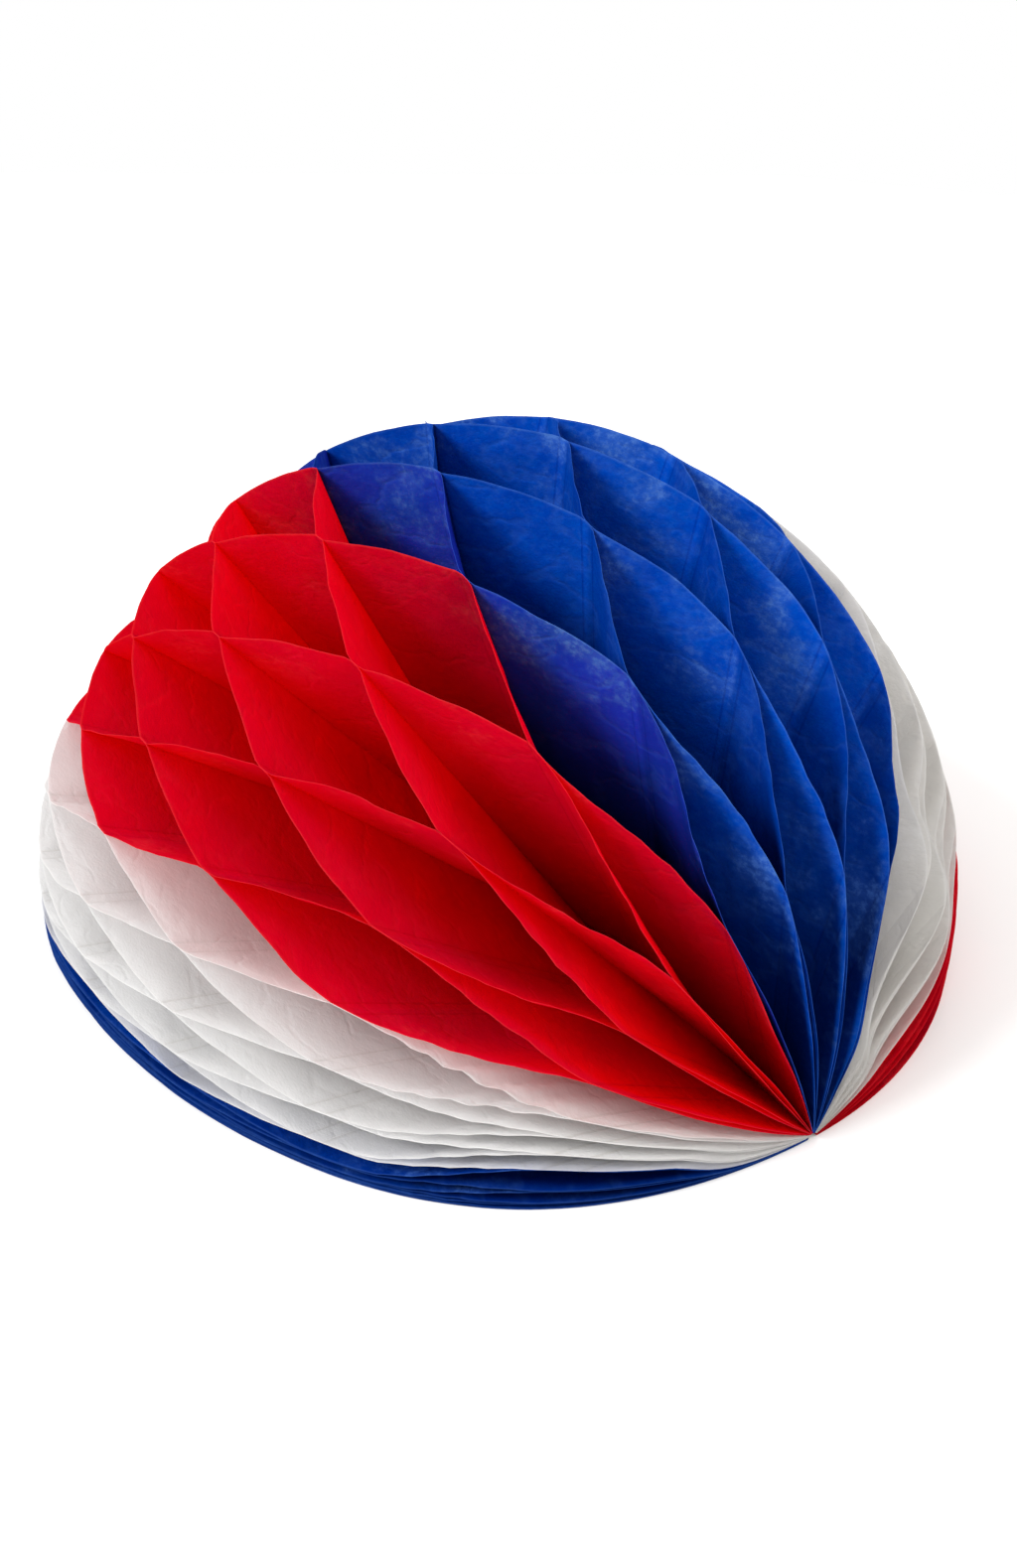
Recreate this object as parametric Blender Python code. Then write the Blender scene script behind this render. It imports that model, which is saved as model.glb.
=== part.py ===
"""Half-opened honeycomb tissue ball, lying on its two end leaves.

Forty-two half-disc tissue leaves are bound along their straight edges, which form
the axis (world X).  Neighbouring leaves are glued along narrow bands square to the
axis.  The bands of one junction sit half-way between those of the next, so each
leaf runs in a zigzag when the stack is fanned out from the table at the front (-Y),
over the top, to the table at the back (+Y).
"""
import math

import bmesh
import bpy

# Leaf outline, metres: a half ellipse on the axis
LEAF_REACH = 0.150          # axis to the middle of the rim
LEAF_HALF_LENGTH = 0.1535   # middle of the axis to each pole

# Paper and glue
PAPER = 0.00025             # leaf thickness, measured round the axis
GLUE_GAP = 0.0002           # room between two leaves at a glue band
BAND_WIDTH = 0.0045         # glue band, along the axis
FIRST_BAND = 0.0158         # near pole to the middle of the first band
BAND_PITCH = 0.0411         # one band to the next
LAST_BAND = 0.030           # least distance from the last band to the far pole

# Binding bead along the axis, on which the straight edges of the leaves sit
SEAT_GAP = 0.0003
TIP_LENGTH = 0.002          # what is left of a leaf's width at each pole
BEAD_INSET = 0.0012         # each pole to the end of the bead
BEAD_ARC_STEPS = 12

# Colour sections from the table at the front, and how far each one is fanned out.
# The last section takes what is left up to the table at the back.
SECTIONS = (
    ("front_blue", "blue_tissue"),
    ("front_white", "white_tissue"),
    ("front_red", "red_tissue"),
    ("top_blue", "blue_tissue"),
    ("back_white", "white_tissue"),
    ("back_red", "red_tissue"),
)
LEAVES_PER_SECTION = 7
FRONT_BLUE_OPENING = math.radians(4.0)
FRONT_WHITE_OPENING = math.radians(20.0)
FRONT_RED_OPENING = math.radians(45.0)
TOP_BLUE_OPENING = math.radians(54.5)
BACK_WHITE_OPENING = math.radians(36.5)
FULL_OPENING = math.pi

# Mesh fineness
MIDDLE_CUTS = 2
NEAR_POLE_CUTS = 3
FAR_POLE_CUTS = 4
FOLD_SOFTNESS = 0.2         # 0 straight between two bands, 1 a full S-curve
FIRST_FOLD_LEAD = 0.6       # how early the leaf swings over after the first band
NEAR_POLE_SPREAD = 0.25     # share by which a glued pair parts again at each pole
FAR_POLE_SPREAD = 0.5

COLOURS = {
    "red_tissue": ((0.54, 0.004, 0.012, 1.0), 0.75),
    "blue_tissue": ((0.006, 0.075, 0.36, 1.0), 0.75),
    "white_tissue": ((0.80, 0.80, 0.79, 1.0), 0.8),
    "binding_glue": ((0.72, 0.69, 0.60, 1.0), 0.45),
}

LEAF_COUNT = LEAVES_PER_SECTION * len(SECTIONS)
LEAF_PITCH = PAPER + GLUE_GAP
SPINE_RADIUS = (LEAF_COUNT - 1) * LEAF_PITCH / math.pi
AXIS_HEIGHT = PAPER / 2     # the end leaves lie flat on the table
HALF_PITCH_ANGLE = LEAF_PITCH / LEAF_REACH / 2


def clear_scene():
    for thing in list(bpy.data.objects):
        bpy.data.objects.remove(thing, do_unlink=True)


def make_material(name):
    colour, roughness = COLOURS[name]
    material = bpy.data.materials.new(name)
    material.use_nodes = True
    shader = material.node_tree.nodes["Principled BSDF"]
    shader.inputs["Base Color"].default_value = colour
    shader.inputs["Roughness"].default_value = roughness
    shader.inputs["Metallic"].default_value = 0.0
    material.diffuse_color = colour
    return material


def section_edges():
    """Angles where one colour ends and the next starts, from the front table up."""
    openings = (FRONT_BLUE_OPENING, FRONT_WHITE_OPENING, FRONT_RED_OPENING,
                TOP_BLUE_OPENING, BACK_WHITE_OPENING)
    edges = [0.0]
    for opening in openings:
        edges.append(edges[-1] + opening)
    edges.append(FULL_OPENING)
    return edges


def junction_angles():
    """Angle of each junction between two leaves, eased across the colour sections."""
    edges = section_edges()
    widths = [b - a for a, b in zip(edges, edges[1:])]
    slopes = [widths[0] / 2]
    slopes += [math.sqrt(a * b) for a, b in zip(widths, widths[1:])]
    slopes.append(widths[-1])
    angles = []
    for junction in range(LEAF_COUNT + 1):
        section = min(junction // LEAVES_PER_SECTION, len(widths) - 1)
        u = junction / LEAVES_PER_SECTION - section
        angle = (edges[section]
                 + widths[section] * u * u * (3 - 2 * u)
                 + slopes[section] * u * (1 - u) ** 2
                 + slopes[section + 1] * u * u * (u - 1))
        angles.append(angle)
    angles[1] = HALF_PITCH_ANGLE
    angles[LEAF_COUNT - 1] = FULL_OPENING - HALF_PITCH_ANGLE
    return angles


def band_places():
    """Middle of each glue band on the axis, from the near pole (+X) to the far one."""
    first = LEAF_HALF_LENGTH - FIRST_BAND
    count = int((first + LEAF_HALF_LENGTH - LAST_BAND) / BAND_PITCH) + 1
    return [first - BAND_PITCH * row for row in range(count)]


def rim_reach(x):
    return LEAF_REACH * math.sqrt(1 - (x / LEAF_HALF_LENGTH) ** 2)


def tip_place():
    """Place on the axis where a leaf is only TIP_LENGTH wide."""
    return LEAF_HALF_LENGTH * math.sqrt(1 - ((SPINE_RADIUS + TIP_LENGTH) / LEAF_REACH) ** 2)


def cut_places(bands):
    """Places on the axis where a leaf's outline has a point: (x, row, share to next row).

    Row -1 stands for the near pole, and the last row's share runs to the far pole.
    """
    def steps(x_from, x_to, cuts):
        turn_from = math.acos(x_from / LEAF_HALF_LENGTH)
        turn_to = math.acos(x_to / LEAF_HALF_LENGTH)
        for cut in range(1, cuts + 1):
            share = cut / (cuts + 1)
            turn = turn_from + (turn_to - turn_from) * share
            yield LEAF_HALF_LENGTH * math.cos(turn), share

    half = BAND_WIDTH / 2
    tip = tip_place()
    places = [(tip, -1, 0.0)]
    places += [(x, -1, share) for x, share in steps(tip, bands[0] + half, NEAR_POLE_CUTS)]
    for row, band in enumerate(bands):
        places += [(band + half, row, 0.0), (band - half, row, 0.0)]
        last = row == len(bands) - 1
        end = -tip if last else bands[row + 1] + half
        cuts = FAR_POLE_CUTS if last else MIDDLE_CUTS
        places += [(x, row, share) for x, share in steps(band - half, end, cuts)]
    places.append((-tip, len(bands) - 1, 1.0))
    return places


def leaf_angle_at_row(leaf, row, angles):
    """A leaf leans on its upper neighbour at every other band, on its lower one between."""
    if leaf == 1:
        return 0.0
    if leaf == LEAF_COUNT:
        return FULL_OPENING
    if (row + 1) % 2 == leaf % 2:
        return angles[leaf] - HALF_PITCH_ANGLE
    return angles[leaf - 1] + HALF_PITCH_ANGLE


def leaf_angle(leaf, row, share, angles, last_row):
    if row < 0:
        start = leaf_angle_at_row(leaf, -1, angles)
        end = leaf_angle_at_row(leaf, 0, angles)
        start = end + (start - end) * NEAR_POLE_SPREAD
    else:
        start = leaf_angle_at_row(leaf, row, angles)
        end = leaf_angle_at_row(leaf, row + 1, angles)
        if row == last_row:
            end = start + (end - start) * FAR_POLE_SPREAD
    if row == 0:
        share = 1 - (1 - share) ** (1 + FIRST_FOLD_LEAD)
    smooth = share * share * (3 - 2 * share)
    eased = share + FOLD_SOFTNESS * (smooth - share)
    return start + (end - start) * eased


def leaf_points(leaf, x, rim_angle):
    """The four corners of the leaf's section at x: spine and rim, lower and upper face."""
    spine_angle = math.pi * (leaf - 1) / (LEAF_COUNT - 1)
    spine = (-SPINE_RADIUS * math.cos(spine_angle), SPINE_RADIUS * math.sin(spine_angle))
    full = (-LEAF_REACH * math.cos(rim_angle), LEAF_REACH * math.sin(rim_angle))
    share = (rim_reach(x) - SPINE_RADIUS) / (LEAF_REACH - SPINE_RADIUS)
    rim = tuple(a + (b - a) * share for a, b in zip(spine, full))
    run_y, run_z = rim[0] - spine[0], rim[1] - spine[1]
    run = math.hypot(run_y, run_z)
    # square to the run, towards the next leaf
    side_y, side_z = run_z / run * PAPER / 2, -run_y / run * PAPER / 2
    corners = []
    for y, z in (spine, rim):
        for sign in (-1, 1):
            corners.append((x, y + sign * side_y, AXIS_HEIGHT + z + sign * side_z))
    return corners


def build_leaf(leaf, name, material, angles, bands, parent):
    places = cut_places(bands)
    mesh = bmesh.new()
    rings = []
    for x, row, share in places:
        angle = leaf_angle(leaf, row, share, angles, len(bands) - 1)
        rings.append([mesh.verts.new(point) for point in leaf_points(leaf, x, angle)])
    loop = (0, 1, 3, 2)
    for ring, after in zip(rings, rings[1:]):
        for a, b in zip(loop, loop[1:] + loop[:1]):
            # both faces of the paper are split along the same diagonal
            if (a, b) in ((1, 3), (0, 1)):
                mesh.faces.new((ring[a], ring[b], after[b]))
                mesh.faces.new((ring[a], after[b], after[a]))
            else:
                mesh.faces.new((ring[a], ring[b], after[a]))
                mesh.faces.new((ring[b], after[b], after[a]))
    mesh.faces.new([rings[0][k] for k in reversed(loop)])
    mesh.faces.new([rings[-1][k] for k in loop])
    bmesh.ops.recalc_face_normals(mesh, faces=mesh.faces)
    return finish_object(mesh, name, material, parent)


def build_bead(name, material, parent):
    """Half-round bead of binding glue that fills the fan's centre."""
    radius = SPINE_RADIUS - PAPER / 2 - SEAT_GAP
    end = LEAF_HALF_LENGTH - BEAD_INSET
    mesh = bmesh.new()
    arc = []
    for step in range(BEAD_ARC_STEPS + 1):
        turn = math.pi * step / BEAD_ARC_STEPS
        arc.append(mesh.verts.new((end, -radius * math.cos(turn), radius * math.sin(turn))))
    face = mesh.faces.new(arc)
    drawn = bmesh.ops.extrude_face_region(mesh, geom=[face])
    moved = [part for part in drawn["geom"] if isinstance(part, bmesh.types.BMVert)]
    bmesh.ops.translate(mesh, verts=moved, vec=(-2 * end, 0, 0))
    bmesh.ops.recalc_face_normals(mesh, faces=mesh.faces)
    return finish_object(mesh, name, material, parent)


def finish_object(mesh, name, material, parent):
    data = bpy.data.meshes.new(name)
    mesh.to_mesh(data)
    mesh.free()
    data.materials.append(material)
    data.shade_smooth()
    data.set_sharp_from_angle(angle=math.radians(40))
    part = bpy.data.objects.new(name, data)
    part.parent = parent
    bpy.context.scene.collection.objects.link(part)
    return part


def build_ball():
    clear_scene()
    materials = {name: make_material(name) for name in COLOURS}
    ball = bpy.data.objects.new("tissue_ball", None)
    bpy.context.scene.collection.objects.link(ball)
    angles = junction_angles()
    bands = band_places()
    leaf = 0
    for section, tissue in SECTIONS:
        for number in range(1, LEAVES_PER_SECTION + 1):
            leaf += 1
            build_leaf(leaf, f"{section}_leaf_{number}", materials[tissue], angles, bands, ball)
    build_bead("binding_bead", materials["binding_glue"], ball)


build_ball()
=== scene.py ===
import math

import bmesh
import bpy
from mathutils import Matrix, Vector


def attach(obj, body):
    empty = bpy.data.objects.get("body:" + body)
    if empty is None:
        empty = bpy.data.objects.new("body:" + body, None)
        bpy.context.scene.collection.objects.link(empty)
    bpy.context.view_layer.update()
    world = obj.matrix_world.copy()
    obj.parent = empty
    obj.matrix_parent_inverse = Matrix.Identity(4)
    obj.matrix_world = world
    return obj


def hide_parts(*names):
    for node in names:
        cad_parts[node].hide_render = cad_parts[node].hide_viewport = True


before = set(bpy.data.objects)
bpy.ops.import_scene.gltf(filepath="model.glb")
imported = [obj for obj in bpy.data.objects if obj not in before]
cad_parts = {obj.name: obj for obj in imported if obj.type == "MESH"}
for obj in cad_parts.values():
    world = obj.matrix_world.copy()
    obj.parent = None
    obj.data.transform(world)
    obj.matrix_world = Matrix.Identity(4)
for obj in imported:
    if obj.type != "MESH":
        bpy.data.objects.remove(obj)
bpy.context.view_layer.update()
print("frame loaded:", len(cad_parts), "nodes")

sharpAngle = math.radians(50)     # bends beyond this stay crisp


def plug(tree, value, socket):
    if isinstance(value, bpy.types.NodeSocket):
        tree.links.new(value, socket)
    else:
        socket.default_value = value


def addNode(tree, kind, given=(), **settings):
    node = tree.nodes.new(kind)
    for name, value in settings.items():
        setattr(node, name, value)
    for place, value in dict(given).items():
        plug(tree, value, node.inputs[place])
    return node


def sums(tree, operation, *values):
    node = tree.nodes.new("ShaderNodeMath")
    node.operation = operation
    for value, socket in zip(values, node.inputs):
        plug(tree, value, socket)
    return node.outputs[0]


def blendValue(tree, share, a, b):
    return sums(tree, "MULTIPLY_ADD", share, sums(tree, "SUBTRACT", b, a), a)


def clampShare(tree, value):
    return sums(tree, "MAXIMUM", sums(tree, "MINIMUM", value, 1.0), 0.0)


def sCurve(tree, share):
    square = sums(tree, "MULTIPLY", share, share)
    return sums(tree, "MULTIPLY", square, sums(tree, "MULTIPLY_ADD", share, -2.0, 3.0))


# one leaf, in metres
leafCut = {
    "reach": 0.150,
    "halfLength": 0.1535,
    "firstBand": 0.0158,
    "bandPitch": 0.0411,
    "bandWidth": 0.0045,
    "lastBandRoom": 0.030,
    "leafPitch": 0.00012,     # one leaf to the next where they are glued
    "paper": 0.00008,
    "tipLength": 0.0008,
    "cutsAlong": 220,
    "cutsAcross": 30,
    "crowding": 1.5,          # the cuts are closer near the rim
    "pressedOpening": 1.5,    # degrees: leaves closer than this get fewer cuts
    "pressedCutsAlong": 150,
    "pressedCutsAcross": 10,
    "weld": 0.000005,
    "uvScale": (3.1, 3.1, 0.0),
    "uvShift": (0.5, 0.02, 0.0),
}

# colour sections from the floor at the front: node name, tissue, fanned out by so many degrees
fan = {
    "sections": (
        ("front_blue", "blue_tissue", 3.3),
        ("front_white", "white_tissue", 20.7),
        ("front_red", "red_tissue", 45.0),
        ("top_blue", "blue_tissue", 54.5),
        ("back_white", "white_tissue", 36.5),
        ("back_red", "red_tissue", 20.0),
    ),
    "leavesPerSection": 7,
    "paintedRedLightLeaves": {"top_blue_leaf_1": 1.0, "front_white_leaf_7": 0.5},     # painted red light, passed through and bounced off the red leaf beside it
    "paintedShade": {"front_blue": 0.70, "back_red": 0.85, "back_white": 0.5},  # painted shade on sections that lie in shade, warm on the back white
}

leafCount = fan["leavesPerSection"] * len(fan["sections"])
spineRadius = (leafCount - 1) * leafCut["leafPitch"] / math.pi
halfPitchAngle = leafCut["leafPitch"] / leafCut["reach"] / 2
bandRoom = 2 * leafCut["halfLength"] - leafCut["firstBand"] - leafCut["lastBandRoom"]
lastRow = int(bandRoom / leafCut["bandPitch"])


def junctionAngles():
    widths = [math.radians(section[2]) for section in fan["sections"]]
    edges = [sum(widths[:count]) for count in range(len(widths) + 1)]
    slopes = [widths[0] / 2]
    slopes += [math.sqrt(a * b) for a, b in zip(widths, widths[1:])]
    slopes += [widths[-1]]
    angles = []
    for junction in range(leafCount + 1):
        section = min(junction // fan["leavesPerSection"], len(widths) - 1)
        u = junction / fan["leavesPerSection"] - section
        angles.append(edges[section]
                      + widths[section] * u * u * (3 - 2 * u)
                      + slopes[section] * u * (1 - u) ** 2
                      + slopes[section + 1] * u * u * (u - 1))
    angles[1] = halfPitchAngle
    angles[leafCount - 1] = edges[-1] - halfPitchAngle
    return angles


# how a leaf hangs between its glue bands, in metres and in degrees from the floor at the front
leafFold = {
    "softness": 0.06,
    "firstLead": 0.6,
    "nearSpread": 0.25,
    "farSpread": 0.5,
    "frontLift": 6.6,         # the pressed front leaves part beside the near pole
    "liftFrom": 0.106,
    "liftTo": 0.140,
    "liftPeak": 3.3,
    "liftEnd": 24.0,
    "drop": 1.2,              # and close again right beside it
    "dropFrom": 0.1475,
    "dropTo": 0.1530,
    "frontBlunt": 0.14,       # their rims are blunter towards it
    "bluntFrom": 0.050,
    "bluntLength": 0.1,
    "bluntPower": 2.8,
    "frontSlim": 0.020,       # and a little shorter before that
    "slimAlong": (-0.06, 0.02),
    "lowLeaves": (2.0, 12.0),
    "frontReach": 0.027,      # the loose front leaves sag outward on the far half
    "reachAlong": (-0.05, 0.05),
    "reachFade": 19.0,
    "reachEnd": 33.0,
    "backSlim": 0.019,        # the shoulder behind the top is a little flatter
    "shoulderAlong": (-0.03, 0.03),
    "slimFrom": 98.0,
    "slimPeak": 120.0,
    "slimFade": 136.0,
    "slimEnd": 158.0,
    "backSway": 0.0045,       # the back leaves swing to and fro beside the near pole
    "backSwell": 0.0042,      # and in and out
    "swayFrom": 105.0,
    "swayPeak": 140.0,
    "swayEnd": 168.0,
    "swayPlace": 28.0,        # these four are degrees from the near pole round the rim
    "swayLength": 25.0,
    "swayStart": (5.0, 13.0),
    "swayStop": (34.0, 50.0),
    "swayDrift": 2.5,         # turns on from leaf to leaf
    "wrinkle": 0.20,          # share of the room beside the leaf
    "wrinkleLimit": 0.0024,
    "broadNoise": (26.0, 2.0),    # scale and detail of each noise
    "fineNoise": (85.0, 2.0),
    "fineShare": 0.40,
    "fineSeed": 50.0,
    "drape": 0.30,
    "drapeLimit": 0.0022,
    "drapeNoise": (24.0, 1.0),
    "drapeSeed": 0.12,        # neighbours drape nearly alike
    "pleatDepth": 0.0002,     # short creases across the leaf beside the near pole
    "deepPleats": {"front_white_leaf_7": 0.0007, "front_white_leaf_6": 0.0005},
    "pleatPitch": 0.0062,
    "pleatFrom": 0.085,
    "pleatGrow": 0.02,
    "pleatNoise": (30.0, 1.0),
    "pleatDrift": 3.0,
    "rimWaver": 0.0004,
    "rimNoise": (90.0, 3.0),
    "seedStep": 1.37,
}

# the inputs of the leaf's Geometry Nodes tree
leafInputs = (
    ("Reach", leafCut["reach"]),
    ("Half Length", leafCut["halfLength"]),
    ("First Band", leafCut["firstBand"]),
    ("Band Pitch", leafCut["bandPitch"]),
    ("Band Width", leafCut["bandWidth"]),
    ("Last Row", float(lastRow)),
    ("Spine Radius", spineRadius),
    ("Tip Length", leafCut["tipLength"]),
    ("Paper", leafCut["paper"]),
    ("Cuts Along", leafCut["cutsAlong"]),
    ("Cuts Across", leafCut["cutsAcross"]),
    ("Softness", leafFold["softness"]),
    ("First Lead", leafFold["firstLead"]),
    ("Near Spread", leafFold["nearSpread"]),
    ("Far Spread", leafFold["farSpread"]),
    ("Front Lift", math.radians(leafFold["frontLift"])),
    ("Lift From", leafFold["liftFrom"]),
    ("Lift To", leafFold["liftTo"]),
    ("Drop From", leafFold["dropFrom"]),
    ("Drop To", leafFold["dropTo"]),
    ("Drop", leafFold["drop"]),
    ("Lift Peak", math.radians(leafFold["liftPeak"])),
    ("Lift End", math.radians(leafFold["liftEnd"])),
    ("Front Blunt", leafFold["frontBlunt"]),
    ("Blunt From", leafFold["bluntFrom"]),
    ("Blunt Power", leafFold["bluntPower"]),
    ("Front Slim", leafFold["frontSlim"]),
    ("Front Reach", leafFold["frontReach"]),
    ("Reach Fade", math.radians(leafFold["reachFade"])),
    ("Reach End", math.radians(leafFold["reachEnd"])),
    ("Back Slim", leafFold["backSlim"]),
    ("Slim From", math.radians(leafFold["slimFrom"])),
    ("Slim Peak", math.radians(leafFold["slimPeak"])),
    ("Slim Fade", math.radians(leafFold["slimFade"])),
    ("Slim End", math.radians(leafFold["slimEnd"])),
    ("Back Sway", leafFold["backSway"]),
    ("Back Swell", leafFold["backSwell"]),
    ("Sway From", math.radians(leafFold["swayFrom"])),
    ("Sway Peak", math.radians(leafFold["swayPeak"])),
    ("Sway End", math.radians(leafFold["swayEnd"])),
    ("Sway Place", math.radians(leafFold["swayPlace"])),
    ("Sway Length", math.radians(leafFold["swayLength"])),
    ("Sway Drift", leafFold["swayDrift"]),
    ("Wrinkle", leafFold["wrinkle"]),
    ("Wrinkle Limit", leafFold["wrinkleLimit"]),
    ("Rim Waver", leafFold["rimWaver"]),
    ("Drape", leafFold["drape"]),
    ("Drape Limit", leafFold["drapeLimit"]),
    ("Pleat Depth", leafFold["pleatDepth"]),
    ("Pleat Pitch", leafFold["pleatPitch"]),
    ("Pleats From", leafFold["pleatFrom"]),
    ("Low Angle", 0.0),
    ("High Angle", 0.0),
    ("Spine Angle", 0.0),
    ("Leans Up First", 0.0),
    ("Seed", 0.0),
    # painted red light and painted section shade for the whole leaf
    ("Painted Red Light", 0.0),
    ("Painted Shade", 0.0),
    ("Tissue", None),
)
socketKinds = {float: "NodeSocketFloat", int: "NodeSocketInt", type(None): "NodeSocketMaterial"}


def noiseAt(tree, across, along, seed, scale, detail):
    place = addNode(tree, "ShaderNodeCombineXYZ", {0: along, 1: across}).outputs[0]
    noise = addNode(tree, "ShaderNodeTexNoise", noise_dimensions="4D")
    plug(tree, place, noise.inputs["Vector"])
    plug(tree, seed, noise.inputs["W"])
    plug(tree, scale, noise.inputs["Scale"])
    plug(tree, detail, noise.inputs["Detail"])
    return sums(tree, "MULTIPLY_ADD", noise.outputs[0], 2.0, -1.0)


def leanShare(tree, size, x):
    # 0 where the leaf is glued to the one below, 1 where it is glued to the one above,
    # and which way it slopes between two bands
    firstPlace = sums(tree, "SUBTRACT", size["Half Length"], size["First Band"])
    rows = sums(tree, "DIVIDE", sums(tree, "SUBTRACT", firstPlace, x), size["Band Pitch"])
    row = sums(tree, "MINIMUM", sums(tree, "FLOOR", rows), size["Last Row"])
    row = sums(tree, "MAXIMUM", row, 0.0)
    start = sums(tree, "PINGPONG", sums(tree, "ADD", row, size["Leans Up First"]), 1.0)
    past = sums(tree, "MULTIPLY", sums(tree, "SUBTRACT", rows, row), size["Band Pitch"])
    past = sums(tree, "SUBTRACT", past, sums(tree, "MULTIPLY", size["Band Width"], 0.5))

    # between two bands, with an early swing after the first one
    plain = clampShare(tree, sums(tree, "DIVIDE", past, sums(
        tree, "SUBTRACT", size["Band Pitch"], size["Band Width"])))
    isFirst = sums(tree, "LESS_THAN", row, 0.5)
    lead = sums(tree, "MULTIPLY_ADD", isFirst, size["First Lead"], 1.0)
    plain = sums(tree, "POWER", sums(tree, "SUBTRACT", 1.0, plain), lead)
    plain = sums(tree, "SUBTRACT", 1.0, plain)
    middle = blendValue(tree, size["Softness"], plain, sCurve(tree, plain))

    # past the last band the pairs part again only in part
    lastPlace = sums(tree, "SUBTRACT", firstPlace,
                     sums(tree, "MULTIPLY", size["Last Row"], size["Band Pitch"]))
    farLength = sums(tree, "ADD", lastPlace, size["Half Length"])
    farShare = sCurve(tree, clampShare(tree, sums(tree, "DIVIDE", past, farLength)))
    isLast = sums(tree, "GREATER_THAN", row, sums(tree, "SUBTRACT", size["Last Row"], 0.5))
    share = blendValue(tree, isLast, middle, sums(tree, "MULTIPLY", farShare, size["Far Spread"]))

    # likewise between the first band and the near pole
    before = sums(tree, "MULTIPLY", rows, sums(tree, "MULTIPLY", size["Band Pitch"], -1.0))
    before = sums(tree, "SUBTRACT", before, sums(tree, "MULTIPLY", size["Band Width"], 0.5))
    nearShare = clampShare(tree, sums(tree, "DIVIDE", before, size["First Band"]))
    share = sums(tree, "ADD", share, sums(tree, "MULTIPLY", nearShare, size["Near Spread"]))
    return blendValue(tree, share, start, sums(tree, "SUBTRACT", 1.0, start)), start


def stepUp(tree, value, low, high):
    span = sums(tree, "SUBTRACT", high, low)
    share = sums(tree, "DIVIDE", sums(tree, "SUBTRACT", value, low), span)
    return sCurve(tree, clampShare(tree, share))


def stepDown(tree, value, low, high):
    return sums(tree, "SUBTRACT", 1.0, stepUp(tree, value, low, high))


def humpShare(tree, angle, rising, falling):
    # grows over the first two angles and fades over the last two
    return sums(tree, "MULTIPLY", stepUp(tree, angle, *rising), stepDown(tree, angle, *falling))


def frontRise(tree, size, x, angle):
    drop = sums(tree, "MULTIPLY", stepUp(tree, x, size["Drop From"], size["Drop To"]), size["Drop"])
    near = sums(tree, "SUBTRACT", stepUp(tree, x, size["Lift From"], size["Lift To"]), drop)
    hump = humpShare(tree, angle, (0.0, size["Lift Peak"]), (size["Lift Peak"], size["Lift End"]))
    return sums(tree, "MULTIPLY", sums(tree, "MULTIPLY", hump, near), size["Front Lift"])


def frontCut(tree, size, x, angle):
    # the low leaves at the front
    low = stepDown(tree, angle, *[math.radians(turn) for turn in leafFold["lowLeaves"]])
    past = clampShare(tree, sums(tree, "MULTIPLY", sums(tree, "SUBTRACT", x, size["Blunt From"]),
                                 1 / leafFold["bluntLength"]))
    blunt = sums(tree, "POWER", past, size["Blunt Power"])
    blunt = sums(tree, "MULTIPLY", blunt, size["Front Blunt"])
    slim = sums(tree, "MULTIPLY", stepUp(tree, x, *leafFold["slimAlong"]), size["Front Slim"])
    more = sums(tree, "MULTIPLY", sums(tree, "SUBTRACT", blunt, slim), low)

    # their far half
    loose = sums(tree, "MULTIPLY", stepDown(tree, angle, size["Reach Fade"], size["Reach End"]),
                 stepDown(tree, x, *leafFold["reachAlong"]))
    more = sums(tree, "MULTIPLY_ADD", loose, size["Front Reach"], more)

    # the shoulder behind the top
    hump = humpShare(tree, angle, (size["Slim From"], size["Slim Peak"]),
                     (size["Slim Fade"], size["Slim End"]))
    hump = sums(tree, "MULTIPLY", hump, stepUp(tree, x, *leafFold["shoulderAlong"]))
    more = sums(tree, "SUBTRACT", more, sums(tree, "MULTIPLY", hump, size["Back Slim"]))
    return sums(tree, "ADD", more, 1.0)


def backSway(tree, size, turn, angle):
    place = sums(tree, "SUBTRACT", turn, size["Sway Place"])
    place = sums(tree, "DIVIDE", place, size["Sway Length"])
    drift = sums(tree, "SUBTRACT", angle, size["Sway Peak"])
    drift = sums(tree, "MULTIPLY", drift, size["Sway Drift"])
    wave = sums(tree, "COSINE", sums(tree, "MULTIPLY_ADD", place, 2 * math.pi, drift))
    near = humpShare(tree, turn, [math.radians(edge) for edge in leafFold["swayStart"]],
                     [math.radians(edge) for edge in leafFold["swayStop"]])
    hump = humpShare(tree, angle, (size["Sway From"], size["Sway Peak"]),
                     (size["Sway Peak"], size["Sway End"]))
    return sums(tree, "MULTIPLY", hump, sums(tree, "MULTIPLY", wave, near))


def pleats(tree, size, x, across):
    drift = noiseAt(tree, across, x, size["Seed"], *leafFold["pleatNoise"])
    drift = sums(tree, "MULTIPLY", drift, leafFold["pleatDrift"])
    turn = sums(tree, "DIVIDE", sums(tree, "MULTIPLY", x, 2 * math.pi), size["Pleat Pitch"])
    wave = sums(tree, "SINE", sums(tree, "ADD", turn, drift))
    past = sums(tree, "SUBTRACT", x, size["Pleats From"])
    toPole = sCurve(tree, clampShare(tree, sums(tree, "MULTIPLY", past, 1 / leafFold["pleatGrow"])))
    depth = sums(tree, "MULTIPLY", sums(tree, "MULTIPLY", across, across), size["Pleat Depth"])
    return sums(tree, "MULTIPLY", sums(tree, "MULTIPLY", wave, toPole), depth)


def storeValue(tree, mesh, name, value, kind, domain="POINT"):
    return addNode(tree, "GeometryNodeStoreNamedAttribute", {
        "Geometry": mesh, "Name": name, "Value": value}, data_type=kind, domain=domain).outputs[0]


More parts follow.
